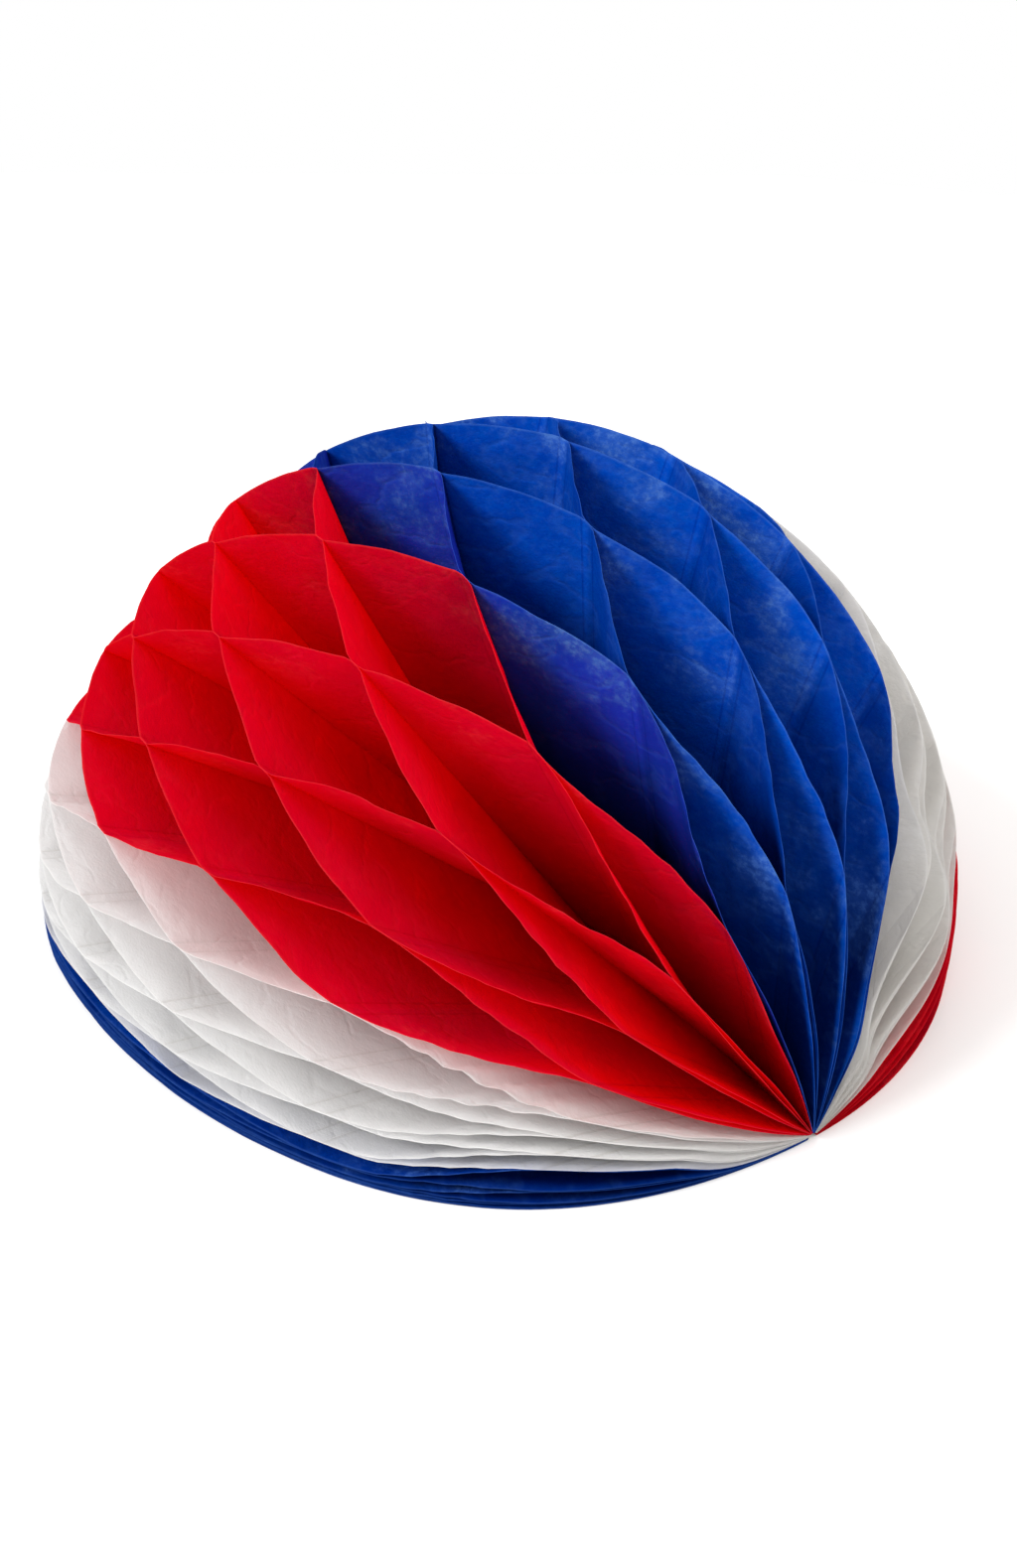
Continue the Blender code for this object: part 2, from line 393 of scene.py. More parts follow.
def buildLeafTree():
    tree = bpy.data.node_groups.new("leafShape", "GeometryNodeTree")
    tree.is_modifier = True
    for name, value in leafInputs:
        socket = tree.interface.new_socket(
            name=name, in_out="INPUT", socket_type=socketKinds[type(value)])
        if value is not None:
            socket.default_value = value
    tree.interface.new_socket(name="Leaf", in_out="OUTPUT", socket_type="NodeSocketGeometry")
    size = addNode(tree, "NodeGroupInput").outputs
    grid = addNode(tree, "GeometryNodeMeshGrid", {
        "Vertices X": size["Cuts Across"], "Vertices Y": size["Cuts Along"]})
    flat = addNode(tree, "ShaderNodeSeparateXYZ", {0: grid.outputs["UV Map"]}).outputs

    # along the axis by turning round the ellipse, so that the rim stays smooth at the poles
    tip = sums(tree, "ARCSINE", sums(tree, "DIVIDE", sums(
        tree, "ADD", size["Spine Radius"], size["Tip Length"]), size["Reach"]))
    turn = blendValue(tree, flat[1], tip, sums(tree, "SUBTRACT", math.pi, tip))
    x = sums(tree, "MULTIPLY", size["Half Length"], sums(tree, "COSINE", turn))
    waver = noiseAt(tree, 0.0, x, size["Seed"], *leafFold["rimNoise"])
    waver = sums(tree, "MULTIPLY", waver, size["Rim Waver"])
    lean, facet = leanShare(tree, size, x)
    angle = blendValue(tree, lean, size["Low Angle"], size["High Angle"])
    plainRim = sums(tree, "MULTIPLY", size["Reach"], sums(tree, "SINE", turn))
    rim = sums(tree, "ADD", sums(tree, "MULTIPLY", plainRim, frontCut(tree, size, x, angle)), waver)
    swing = backSway(tree, size, turn, angle)
    rim = sums(tree, "MULTIPLY_ADD", swing, size["Back Swell"], rim)
    swing = sums(tree, "MULTIPLY", swing, sums(tree, "DIVIDE", size["Back Sway"], rim))
    angle = sums(tree, "ADD", sums(tree, "ADD", angle, frontRise(tree, size, x, angle)), swing)

    # across the leaf, with closer cuts near the rim
    inward = sums(tree, "SUBTRACT", 1.0, flat[0])
    across = sums(tree, "SUBTRACT", 1.0, sums(tree, "POWER", inward, leafCut["crowding"]))
    rimShare = sums(tree, "DIVIDE", sums(tree, "SUBTRACT", rim, size["Spine Radius"]),
                    sums(tree, "SUBTRACT", size["Reach"], size["Spine Radius"]))
    share = sums(tree, "MULTIPLY", rimShare, across)
    reach = sums(tree, "MULTIPLY", rim, across)

    # tissue is never quite flat between its bands
    opening = sums(tree, "SUBTRACT", size["High Angle"], size["Low Angle"])
    room = sums(tree, "MULTIPLY", reach, opening)
    swell = sums(tree, "MULTIPLY", room, size["Wrinkle"])
    swell = sums(tree, "MINIMUM", swell, size["Wrinkle Limit"])
    free = sums(tree, "SUBTRACT", 1.0, lean)
    free = sums(tree, "MULTIPLY", sums(tree, "MULTIPLY", lean, 4.0), free)
    broad = noiseAt(tree, reach, x, size["Seed"], *leafFold["broadNoise"])
    fineSeed = sums(tree, "ADD", size["Seed"], leafFold["fineSeed"])
    fine = noiseAt(tree, reach, x, fineSeed, *leafFold["fineNoise"])
    bend = sums(tree, "MULTIPLY_ADD", fine, leafFold["fineShare"], broad)
    bend = sums(tree, "MULTIPLY_ADD", bend, swell, pleats(tree, size, x, across))

    # neighbours drape together, so this may be larger than the room between them
    together = sums(tree, "MULTIPLY", size["Seed"], leafFold["drapeSeed"])
    drape = sums(tree, "MINIMUM", sums(tree, "MULTIPLY", room, size["Drape"]), size["Drape Limit"])
    sway = sums(tree, "MULTIPLY", noiseAt(tree, reach, x, together, *leafFold["drapeNoise"]), drape)
    bend = sums(tree, "MULTIPLY", sums(tree, "ADD", bend, sway), free)

    def circle(function, radius, turned, sign):
        wave = sums(tree, function, turned)
        return sums(tree, "MULTIPLY", sums(tree, "MULTIPLY", wave, radius), sign)

    y = blendValue(tree, share, circle("COSINE", size["Spine Radius"], size["Spine Angle"], -1.0),
                   circle("COSINE", size["Reach"], angle, -1.0))
    z = blendValue(tree, share, circle("SINE", size["Spine Radius"], size["Spine Angle"], 1.0),
                   circle("SINE", size["Reach"], angle, 1.0))
    sideY = sums(tree, "SINE", angle)
    sideZ = sums(tree, "COSINE", angle)
    offset = sums(tree, "SUBTRACT", bend, sums(tree, "MULTIPLY", size["Paper"], 0.5))
    y = sums(tree, "MULTIPLY_ADD", sideY, offset, y)
    z = sums(tree, "MULTIPLY_ADD", sideZ, offset, z)
    z = sums(tree, "ADD", z, sums(tree, "MULTIPLY", size["Paper"], 0.5))
    place = addNode(tree, "ShaderNodeCombineXYZ", {0: x, 1: y, 2: z}).outputs[0]

    # what the tissue's pattern reads: the place on the flat leaf, the leaf's own number, and masks
    plainReach = sums(tree, "MULTIPLY", plainRim, across)
    flatPlace = addNode(tree, "ShaderNodeCombineXYZ", {
        0: x, 1: plainReach, 2: size["Seed"]}).outputs[0]
    uv = addNode(tree, "ShaderNodeVectorMath", {
        0: flatPlace, 1: leafCut["uvScale"], 2: leafCut["uvShift"]},
        operation="MULTIPLY_ADD").outputs[0]
    mesh = storeValue(tree, grid.outputs["Mesh"], "flatPlace", flatPlace, "FLOAT_VECTOR")
    # masks for painted red light and painted section shade
    mesh = storeValue(tree, mesh, "paintedRedLight", size["Painted Red Light"], "FLOAT")
    mesh = storeValue(tree, mesh, "paintedShade", size["Painted Shade"], "FLOAT")
    mesh = storeValue(tree, mesh, "facet", facet, "FLOAT")
    mesh = storeValue(tree, mesh, "UVMap", uv, "FLOAT2", "CORNER")
    mesh = addNode(tree, "GeometryNodeSetPosition", {
        "Geometry": mesh, "Position": place}).outputs[0]

    # the sheet gets its thickness round the axis
    up = addNode(tree, "ShaderNodeCombineXYZ", {1: sideY, 2: sideZ}).outputs[0]
    raised = addNode(tree, "GeometryNodeExtrudeMesh", {
        "Mesh": mesh, "Offset": up, "Offset Scale": size["Paper"], "Individual": False}).outputs[0]
    under = addNode(tree, "GeometryNodeFlipFaces", {0: mesh}).outputs[0]
    both = addNode(tree, "GeometryNodeJoinGeometry")
    tree.links.new(raised, both.inputs[0])
    tree.links.new(under, both.inputs[0])
    whole = addNode(tree, "GeometryNodeMergeByDistance", {
        "Geometry": both.outputs[0], "Distance": leafCut["weld"]}).outputs[0]
    whole = addNode(tree, "GeometryNodeRealizeInstances", {0: whole}).outputs[0]
    whole = addNode(tree, "GeometryNodeSetMaterial", {
        "Geometry": whole, "Material": size["Tissue"]}).outputs[0]
    out = addNode(tree, "NodeGroupOutput")
    tree.links.new(whole, out.inputs[0])
    return tree


def socketNames(tree):
    inputs = [item for item in tree.interface.items_tree if item.in_out == "INPUT"]
    return {item.name: item.identifier for item in inputs}


def makeLeaf(tree, node, tissue, angles, leaf, paintedShade):
    name = "tissue_" + node
    holder = bpy.data.objects.new(name + "Maker", bpy.data.meshes.new(name + "Maker"))
    bpy.context.scene.collection.objects.link(holder)
    nodes = holder.modifiers.new("leafShape", "NODES")
    nodes.node_group = tree
    given = {
        "Low Angle": angles[leaf - 1] + halfPitchAngle,
        "High Angle": angles[leaf] - halfPitchAngle,
        "Spine Angle": math.pi * (leaf - 1) / (leafCount - 1),
        "Leans Up First": float(leaf % 2),
        "Seed": leaf * leafFold["seedStep"],
        "Painted Red Light": fan["paintedRedLightLeaves"].get(node, 0.0),
        "Painted Shade": paintedShade,
        "Tissue": tissue,
    }
    if angles[leaf] - angles[leaf - 1] < math.radians(leafCut["pressedOpening"]):
        given["Cuts Along"] = leafCut["pressedCutsAlong"]
        given["Cuts Across"] = leafCut["pressedCutsAcross"]
    if node in leafFold["deepPleats"]:
        given["Pleat Depth"] = leafFold["deepPleats"][node]
    if leaf in (1, leafCount):    # the two end leaves lie flat on the floor
        given["Low Angle"] = given["High Angle"] = 0.0 if leaf == 1 else math.pi
        given["Pleat Depth"] = 0.0
    for label, identifier in socketNames(tree).items():
        if label in given:
            nodes[identifier] = given[label]
    graph = bpy.context.evaluated_depsgraph_get()
    mesh = bpy.data.meshes.new_from_object(
        holder.evaluated_get(graph), preserve_all_data_layers=True, depsgraph=graph)
    bpy.data.objects.remove(holder)
    mesh.name = name
    mesh.shade_smooth()
    mesh.set_sharp_from_angle(angle=sharpAngle)
    piece = bpy.data.objects.new(name, mesh)
    bpy.context.scene.collection.objects.link(piece)
    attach(piece, "root")
    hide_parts(node)


# tissue paper

def newGroup(name, ins, outs):
    group = bpy.data.node_groups.new(name, "ShaderNodeTree")
    for label, kind in ins:
        group.interface.new_socket(name=label, in_out="INPUT", socket_type=kind)
    for label, kind in outs:
        group.interface.new_socket(name=label, in_out="OUTPUT", socket_type=kind)
    return group, addNode(group, "NodeGroupInput").outputs, addNode(group, "NodeGroupOutput").inputs


def patternNoise(group, place, scale, detail, roughness=0.5):
    noise = addNode(group, "ShaderNodeTexNoise", {
        "Vector": place, "Scale": scale, "Detail": detail, "Roughness": roughness})
    return noise.outputs[0]


def rise(group, value, low, high):
    node = addNode(group, "ShaderNodeMapRange", {
        "Value": value, "From Min": low, "From Max": high}, interpolation_type="SMOOTHSTEP")
    return node.outputs[0]


def fall(group, value, low, high):
    return sums(group, "SUBTRACT", 1.0, rise(group, value, low, high))


def mixColour(group, share, a, b):
    node = addNode(group, "ShaderNodeMix", data_type="RGBA")
    plug(group, share, node.inputs[0])
    plug(group, a, node.inputs[6])
    plug(group, b, node.inputs[7])
    return node.outputs[2]


# a sheet's pattern: noises as scale, detail and roughness, ranges as where they start and end
sheetPattern = {
    "leafStep": 40,               # from one leaf's pattern to the next
    "drawn": 0.7,                 # fibres lie along the sheet
    "cloud": (330.0, 4.0, 0.65),
    "cloudRange": (0.40, 0.66),
    "cloudShare": 0.34,
    "fibre": (1500.0, 2.0, 0.5),
    "fibreRange": (0.42, 0.70),
    "fibreShare": 0.15,
    "broad": (34.0, 2.0, 0.5),
    "broadShare": 1.3,
    "broadShift": -0.50,
    "glueRange": (0.003, 0.014),  # beside a band's edge, as a share of the band pitch
    "glueShare": 0.30,
    "ribRoom": 2.6,
    "ribTurns": 9000.0,
    # painted rim highlight and painted sheen
    "rimHighlightRange": (0.0001, 0.0008),     # metres from the rim
    "paintedSheenDepth": (0.004, 0.040),
    "paintedSheen": (480.0, 5.0, 0.7),
    "paintedSheenRange": (0.44, 0.66),
    "sheenPatch": (44.0, 4.0, 0.6),
    "sheenPatchRange": (0.50, 0.66),
    "sheenPatchShare": 0.30,
    "paintedSheenInPatch": 0.60,
    "paintedSheenOutside": 0.10,
    "paintedSheenOnLitFacet": 0.8,
    "paintedSheenOnShadedFacet": 0.2,
    "crease": (55.0, 3.0, 0.5),
    "creaseWidth": 0.045,
    "creaseShare": 0.10,
    # painted depth shade and glow, painted red light, and how much painted highlights fade over
    # painted shade
    "depthShadeFromRim": (0.010, 0.075),
    "polePlace": (0.100, 0.148),
    "poleDepth": (0.0010, 0.0080),
    "redLightPatchRange": (0.10, 0.60),
    "highlightDimming": -0.7,
    "crumple": (95.0, 2.0, 0.45),
    "heights": {"crease": 0.7, "fibre": 0.22, "crumple": 3.0,
                "cloud": 0.30, "ribs": 0.06, "glue": 0.4},
}

# the group's inputs, with the leaf attributes or the tissue's looks they are set from
sheetMasks = (("Painted Red Light", "paintedRedLight"), ("Painted Shade", "paintedShade"), ("Facet", "facet"))
sheetColours = (("Deep", "deep"), ("Cloud", "cloud"), ("Highlight Colour", "highlightColour"), ("Depth Shade And Glow", "depthShadeAndGlow"),
                ("Shade And Glue", "shadeAndGlue"), ("Painted Red Light Colour", "paintedRedLight"))
sheetShares = (("Depth Shade And Glow Share", "depthShadeAndGlowShare"), ("Facet Shade And Glow Share", "facetShadeAndGlowShare"),
               ("Rim Light", "rimLight"), ("Glue Line", "glueLine"))


def buildTissueGroup():
    ins = [("Place", "NodeSocketVector")]
    ins += [(label, "NodeSocketFloat") for label, key in sheetMasks + sheetShares]
    ins += [(label, "NodeSocketColor") for label, key in sheetColours]
    group, given, out = newGroup(
        "tissueSheet", ins, (("Colour", "NodeSocketColor"), ("Height", "NodeSocketFloat")))
    look = sheetPattern
    part = addNode(group, "ShaderNodeSeparateXYZ", {0: given["Place"]}).outputs
    place = addNode(group, "ShaderNodeVectorMath", {
        0: given["Place"], 1: (1, 1, look["leafStep"])}, operation="MULTIPLY").outputs[0]
    drawn = addNode(group, "ShaderNodeVectorMath", {
        0: place, 1: (look["drawn"], 1, 1)}, operation="MULTIPLY").outputs[0]

    # clouds of longer and shorter fibres, 2 to 4 mm across, and single fibres
    cloud = rise(group, patternNoise(group, place, *look["cloud"]), *look["cloudRange"])
    fibre = rise(group, patternNoise(group, drawn, *look["fibre"]), *look["fibreRange"])
    broad = patternNoise(group, place, *look["broad"])
    share = sums(group, "MULTIPLY_ADD", cloud, look["cloudShare"],
                 sums(group, "MULTIPLY", fibre, look["fibreShare"]))
    share = clampShare(group, sums(group, "ADD", share, sums(
        group, "MULTIPLY_ADD", broad, look["broadShare"], look["broadShift"])))

    # the glue shows as a pair of faint lines along each band, with fine ribs between them
    firstPlace = leafCut["halfLength"] - leafCut["firstBand"]
    rows = sums(group, "DIVIDE", sums(group, "SUBTRACT", firstPlace, part[0]), leafCut["bandPitch"])
    fromBand = sums(group, "PINGPONG", rows, 0.5)
    bandHalf = leafCut["bandWidth"] / leafCut["bandPitch"] / 2
    fromEdge = sums(group, "ABSOLUTE", sums(group, "SUBTRACT", fromBand, bandHalf))
    glue = fall(group, fromEdge, *look["glueRange"])
    inBand = fall(group, fromBand, bandHalf, bandHalf * look["ribRoom"])
    ribs = sums(group, "MULTIPLY", inBand, sums(
        group, "SINE", sums(group, "MULTIPLY", part[0], look["ribTurns"])))

    # painted highlight along the cut rim, and painted sheen in patches beside it, stronger on the
    # facet turned to the light
    spread = sums(group, "DIVIDE", part[0], leafCut["halfLength"])
    rim = sums(group, "SQRT", sums(group, "MAXIMUM", sums(
        group, "SUBTRACT", 1.0, sums(group, "MULTIPLY", spread, spread)), 0.0))
    fromRim = sums(group, "SUBTRACT", sums(group, "MULTIPLY", rim, leafCut["reach"]), part[1])
    cut = fall(group, fromRim, *look["rimHighlightRange"])
    nearRim = fall(group, fromRim, *look["paintedSheenDepth"])
    paintedSheen = rise(group, patternNoise(group, place, *look["paintedSheen"]), *look["paintedSheenRange"])
    sheenPatch = rise(group, patternNoise(group, place, *look["sheenPatch"]), *look["sheenPatchRange"])
    paintedSheen = sums(group, "MULTIPLY", paintedSheen, sums(
        group, "MULTIPLY_ADD", sheenPatch, look["paintedSheenInPatch"], look["paintedSheenOutside"]))
    paintedSheen = sums(group, "MULTIPLY_ADD", sheenPatch, look["sheenPatchShare"], paintedSheen)
    paintedSheen = sums(group, "MULTIPLY", sums(group, "MULTIPLY", paintedSheen, nearRim), sums(
        group, "MULTIPLY_ADD", given["Facet"], look["paintedSheenOnLitFacet"], look["paintedSheenOnShadedFacet"]))

    # creases: thin ridges where the noise crosses its middle
    crease = patternNoise(group, drawn, *look["crease"])
    crease = sums(group, "ABSOLUTE", sums(group, "SUBTRACT", crease, 0.5))
    crease = fall(group, crease, 0.0, look["creaseWidth"])
    # painted highlight along the cut rim, plus the painted sheen and a lighter line along each
    # crease, partly real crease whitening and partly painted highlight
    paintedHighlight = sums(group, "ADD", sums(group, "MULTIPLY", cut, given["Rim Light"]), paintedSheen)
    paintedHighlight = clampShare(group, sums(group, "MULTIPLY_ADD", crease, look["creaseShare"], paintedHighlight))
    share = clampShare(group, sums(group, "SUBTRACT", share, sums(
        group, "MULTIPLY", glue, look["glueShare"])))

    # painted shade deep in the cells on blue and painted glow there on red and white, towards the
    # bound edge and the near pole, plus painted shade on the facet turned from the light and on
    # sections that lie in shade, and the darker glue lines
    depthShadeAndGlow = sums(group, "MAXIMUM", rise(group, fromRim, *look["depthShadeFromRim"]), sums(
        group, "MULTIPLY", rise(group, part[0], *look["polePlace"]),
        rise(group, fromRim, *look["poleDepth"])))
    depthShadeAndGlow = sums(group, "MULTIPLY", depthShadeAndGlow, given["Depth Shade And Glow Share"])
    # painted shade on the facet turned away from the light
    turned = sums(group, "SUBTRACT", 1.0, given["Facet"])
    turned = sums(group, "MULTIPLY", turned, given["Facet Shade And Glow Share"])
    depthShadeAndGlow = clampShare(group, sums(group, "ADD", depthShadeAndGlow, turned))
    # painted red light in broad patches on a leaf beside a red one
    redLightPatch = sums(group, "MULTIPLY", given["Painted Red Light"], rise(group, broad, *look["redLightPatchRange"]))
    # painted shade on whole sections, and the real darker glue lines, in one colour
    shadeAndGlue = sums(group, "MAXIMUM", given["Painted Shade"], sums(
        group, "MULTIPLY", glue, given["Glue Line"]))
    colour = mixColour(group, share, given["Deep"], given["Cloud"])
    colour = mixColour(group, redLightPatch, colour, given["Painted Red Light Colour"])
    colour = mixColour(group, depthShadeAndGlow, colour, given["Depth Shade And Glow"])
    colour = mixColour(group, shadeAndGlue, colour, given["Shade And Glue"])
    highlightDim = sums(group, "MAXIMUM", depthShadeAndGlow, shadeAndGlue)
    # painted highlights fade over the painted shade, the painted glow and the glue lines
    paintedHighlight = sums(group, "MULTIPLY", paintedHighlight, sums(
        group, "MULTIPLY_ADD", highlightDim, look["highlightDimming"], 1.0))
    group.links.new(mixColour(group, paintedHighlight, colour, given["Highlight Colour"]), out["Colour"])

    # raised and sunken places, for the bump
    tall = look["heights"]
    crumple = patternNoise(group, place, *look["crumple"])
    height = sums(group, "MULTIPLY_ADD", crease, tall["crease"],
                  sums(group, "MULTIPLY", fibre, tall["fibre"]))
    height = sums(group, "MULTIPLY_ADD", crumple, tall["crumple"], height)
    height = sums(group, "MULTIPLY_ADD", cloud, tall["cloud"], height)
    height = sums(group, "MULTIPLY_ADD", ribs, tall["ribs"], height)
    height = sums(group, "MULTIPLY_ADD", glue, tall["glue"], height)
    group.links.new(height, out["Height"])
    return group


# each tissue's own colours, and the colours of its painted depth shade and glow, painted section
# shade, painted red light and painted highlights
tissueLooks = {
    "red_tissue": {
        "deep": (0.78, 0.0004, 0.070, 1),
        "cloud": (0.80, 0.0030, 0.095, 1),
        "highlightColour": (0.95, 0.095, 0.130, 1),
        "depthShadeAndGlow": (0.97, 0.0004, 0.004, 1),
        "depthShadeAndGlowShare": 0.9,
        "shadeAndGlue": (0.50, 0.0003, 0.022, 1),
        "rimLight": 0.8,
        "glueLine": 0.35,
        "facetShadeAndGlowShare": 0.22,
        "paintedRedLight": (0.88, 0.0004, 0.014, 1),
        "glow": (0.97, 0.0006, 0.008, 1),
        "seeThrough": 0.72,
        "gloss": 0.04,
        "roughness": 0.85,
    },
    "blue_tissue": {
        "deep": (0.0001, 0.051, 0.44, 1),
        "cloud": (0.0012, 0.090, 0.54, 1),
        "highlightColour": (0.070, 0.190, 0.60, 1),
        "depthShadeAndGlow": (0.0001, 0.008, 0.10, 1),
        "depthShadeAndGlowShare": 0.95,
        "shadeAndGlue": (0.0001, 0.008, 0.10, 1),
        "rimLight": 0.35,
        "glueLine": 0.18,
        "facetShadeAndGlowShare": 0.30,
        "paintedRedLight": (0.014, 0.034, 0.50, 1),
        "glow": (0.0005, 0.055, 0.52, 1),
        "seeThrough": 0.06,
        "gloss": 0.0,
        "roughness": 0.80,
    },
    "white_tissue": {
        "deep": (0.85, 0.852, 0.855, 1),
        "cloud": (0.89, 0.89, 0.89, 1),
        "highlightColour": (0.97, 0.97, 0.965, 1),
        "depthShadeAndGlow": (0.985, 0.985, 0.98, 1),
        "depthShadeAndGlowShare": 1.0,
        "shadeAndGlue": (0.56, 0.53, 0.47, 1),
        "rimLight": 0.9,
        "glueLine": 0.35,
        "facetShadeAndGlowShare": 0.10,
        "paintedRedLight": (0.82, 0.62, 0.62, 1),
        "glow": (0.985, 0.98, 0.975, 1),
        "seeThrough": 0.70,
        "gloss": 0.04,
        "roughness": 0.85,
    },
}

sheetBump = {"strength": 0.45, "depth": 0.0003}


def makeTissue(name, sheetGroup):
    looks = tissueLooks[name]
    material = bpy.data.materials.new(name + "_sheet")
    material.use_nodes = True
    tree = material.node_tree
    shader = tree.nodes["Principled BSDF"]
    out = tree.nodes["Material Output"]
    sheet = addNode(tree, "ShaderNodeGroup", node_tree=sheetGroup)
    read = addNode(tree, "ShaderNodeAttribute", attribute_name="flatPlace")
    plug(tree, read.outputs["Vector"], sheet.inputs["Place"])
    for label, key in sheetMasks:
        read = addNode(tree, "ShaderNodeAttribute", attribute_name=key)
        plug(tree, read.outputs["Fac"], sheet.inputs[label])
    for label, key in sheetColours + sheetShares:
        sheet.inputs[label].default_value = looks[key]
    bump = addNode(tree, "ShaderNodeBump", {
        "Strength": sheetBump["strength"], "Distance": sheetBump["depth"],
        "Height": sheet.outputs["Height"]}).outputs[0]
    plug(tree, sheet.outputs["Colour"], shader.inputs["Base Color"])
    plug(tree, bump, shader.inputs["Normal"])
    shader.inputs["Roughness"].default_value = looks["roughness"]
    shader.inputs["Specular IOR Level"].default_value = looks["gloss"]
    glow = addNode(tree, "ShaderNodeBsdfTranslucent", {
        "Color": looks["glow"], "Normal": bump}).outputs[0]
    mixed = addNode(tree, "ShaderNodeMixShader", {
        0: looks["seeThrough"], 1: shader.outputs[0], 2: glow}).outputs[0]
    plug(tree, mixed, out.inputs["Surface"])
    return material


# the binding along the gathered edges, in metres
bindingLine = {
    "gap": 0.0001,
    "endInset": 0.0010,
    "steps": 160,
    "arcSteps": 10,
    "lump": 0.08,             # share of the radius
    "lumpTurns": (900, 310),
    "dark": (0.62, 0.58, 0.47, 1),
    "light": (0.80, 0.78, 0.70, 1),
    "grain": (500.0, 3.0),
    "bumpStrength": 0.4,
    "bumpDepth": 0.0003,
    "roughness": 0.4,
}


def makeGlue():
    material = bpy.data.materials.new("binding_glue_line")
    material.use_nodes = True
    tree = material.node_tree
    shader = tree.nodes["Principled BSDF"]
    place = addNode(tree, "ShaderNodeTexCoord").outputs["Object"]
    grain = patternNoise(tree, place, *bindingLine["grain"])
    colour = mixColour(tree, grain, bindingLine["dark"], bindingLine["light"])
    plug(tree, colour, shader.inputs["Base Color"])
    bump = addNode(tree, "ShaderNodeBump", {
        "Strength": bindingLine["bumpStrength"], "Distance": bindingLine["bumpDepth"],
        "Height": grain})
    plug(tree, bump.outputs[0], shader.inputs["Normal"])
    shader.inputs["Roughness"].default_value = bindingLine["roughness"]
    return material


def makeBinding(glue):
    radius = spineRadius - leafCut["paper"] / 2 - bindingLine["gap"]
    end = leafCut["halfLength"] - bindingLine["endInset"]
    fast, slow = bindingLine["lumpTurns"]
    mesh = bmesh.new()
    rings = []
    for step in range(bindingLine["steps"] + 1):
        x = end - 2 * end * step / bindingLine["steps"]
        lump = 1 - bindingLine["lump"] * (0.5 + 0.5 * math.sin(x * fast) * math.sin(x * slow + 1))
        ring = []
        for cut in range(bindingLine["arcSteps"] + 1):
            turn = math.pi * cut / bindingLine["arcSteps"]
            y, z = -radius * lump * math.cos(turn), radius * lump * math.sin(turn)
            ring.append(mesh.verts.new((x, y, z)))
        rings.append(ring)
    for ring, after in zip(rings, rings[1:]):
        for a in range(len(ring)):
            b = (a + 1) % len(ring)
            mesh.faces.new((ring[a], ring[b], after[b], after[a]))
    mesh.faces.new(list(reversed(rings[0])))
    mesh.faces.new(rings[-1])
    bmesh.ops.recalc_face_normals(mesh, faces=mesh.faces)
    data = bpy.data.meshes.new("bindingLine")
    mesh.to_mesh(data)
    mesh.free()
    data.materials.append(glue)
    data.shade_smooth()
    data.set_sharp_from_angle(angle=sharpAngle)
    piece = bpy.data.objects.new("bindingLine", data)
    bpy.context.scene.collection.objects.link(piece)
    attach(piece, "root")
    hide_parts("binding_bead")


# a pale floor and soft light: where each comes from, how wide in degrees, how strong, its colour
studio = {
    "floorSize": 8.0,
    "floorDrop": 0.0002,
    "floorSeen": (0.98, 0.98, 0.98, 1),
    "floorBounce": (0.55, 0.55, 0.55, 1),     # less light comes back up from it
    "floorRoughness": 0.9,
    "floorGloss": 0.1,
    "skyColour": (1.0, 1.0, 1.0, 1),
    "skyLight": 0.76,
    "skySeen": 1.0,
    "lights": {
        "window": ((-0.24, -0.78, 0.60), 22.0, 2.25, (1.0, 1.0, 1.0)),
        "ceiling": ((0.12, 0.0, 1.0), 35.0, 0.8, (1.0, 1.0, 1.0)),
        "back": ((0.35, 0.75, 0.35), 40.0, 0.45, (1.0, 0.80, 0.58)),
    },
}


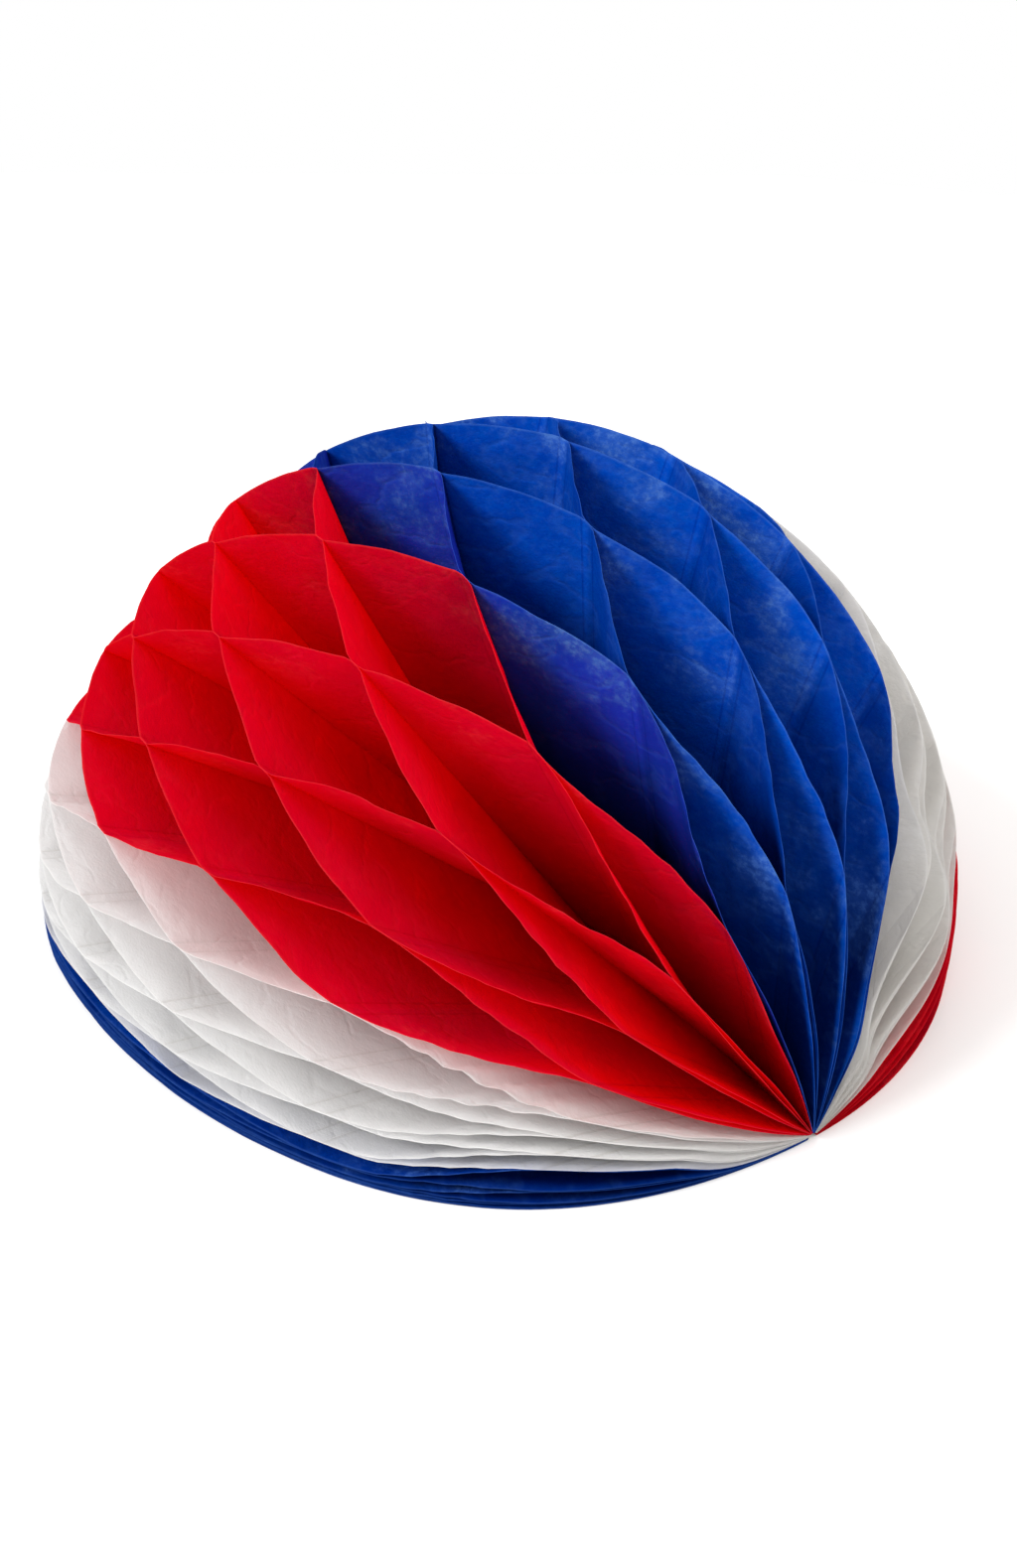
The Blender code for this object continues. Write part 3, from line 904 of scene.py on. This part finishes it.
def makeStudio():
    world = bpy.data.worlds.new("studioSky")
    bpy.context.scene.world = world
    world.use_nodes = True
    tree = world.node_tree
    lit = addNode(tree, "ShaderNodeBackground", {
        "Color": studio["skyColour"], "Strength": studio["skyLight"]}).outputs[0]
    seen = addNode(tree, "ShaderNodeBackground", {
        "Color": studio["skyColour"], "Strength": studio["skySeen"]}).outputs[0]
    fromCamera = addNode(tree, "ShaderNodeLightPath").outputs["Is Camera Ray"]
    sky = addNode(tree, "ShaderNodeMixShader", {0: fromCamera, 1: lit, 2: seen}).outputs[0]
    plug(tree, sky, tree.nodes["World Output"].inputs["Surface"])

    half = studio["floorSize"] / 2
    data = bpy.data.meshes.new("floor")
    corners = [(-half, -half, 0), (half, -half, 0), (half, half, 0), (-half, half, 0)]
    data.from_pydata(corners, [], [(0, 1, 2, 3)])
    floor = bpy.data.objects.new("floor", data)
    floor.location.z = -studio["floorDrop"]
    paint = bpy.data.materials.new("floorPaint")
    paint.use_nodes = True
    shader = paint.node_tree.nodes["Principled BSDF"]
    fromCamera = addNode(paint.node_tree, "ShaderNodeLightPath").outputs["Is Camera Ray"]
    shade = mixColour(paint.node_tree, fromCamera, studio["floorBounce"], studio["floorSeen"])
    plug(paint.node_tree, shade, shader.inputs["Base Color"])
    shader.inputs["Roughness"].default_value = studio["floorRoughness"]
    shader.inputs["Specular IOR Level"].default_value = studio["floorGloss"]
    data.materials.append(paint)
    bpy.context.scene.collection.objects.link(floor)

    for name, (comesFrom, spread, strength, colour) in studio["lights"].items():
        light = bpy.data.lights.new(name, "SUN")
        light.angle = math.radians(spread)
        light.energy = strength
        light.color = colour
        lamp = bpy.data.objects.new(name, light)
        lamp.rotation_euler = Vector(comesFrom).to_track_quat("Z", "Y").to_euler()
        bpy.context.scene.collection.objects.link(lamp)


# the camera stands where the photograph was taken from, with a phone's lens
photoView = {
    "place": (0.2925, -0.1910, 0.2316),
    "forward": (-0.7230, 0.4760, -0.5008),
    "up": (-0.4386, 0.2439, 0.8650),
    "lens": 26.9,
    "longSide": 36,      # mm, as the lens
}


def makeCamera():
    forward = Vector(photoView["forward"]).normalized()
    right = forward.cross(Vector(photoView["up"])).normalized()
    up = right.cross(forward)
    data = bpy.data.cameras.new("photoCamera")
    data.lens = photoView["lens"]
    data.sensor_width = photoView["longSide"]
    camera = bpy.data.objects.new("photoCamera", data)
    turned = Matrix((right, up, -forward)).transposed().to_4x4()
    camera.matrix_world = Matrix.Translation(photoView["place"]) @ turned
    bpy.context.scene.collection.objects.link(camera)
    bpy.context.scene.camera = camera


bpy.context.scene.view_settings.view_transform = "Standard"
makeCamera()
makeStudio()
print("camera and studio ready")

sheetGroup = buildTissueGroup()
tissues = {name: makeTissue(name, sheetGroup) for name in tissueLooks}
print("tissue materials ready")

leafTree = buildLeafTree()
angles = junctionAngles()
leaf = 0
for section, tissue, opening in fan["sections"]:
    paintedShade = fan["paintedShade"].get(section, 0.0)
    for number in range(1, fan["leavesPerSection"] + 1):
        leaf += 1
        node = f"{section}_leaf_{number}"
        makeLeaf(leafTree, node, tissues[tissue], angles, leaf, paintedShade)
    print("leaves hung:", section)
makeBinding(makeGlue())
print("binding laid")
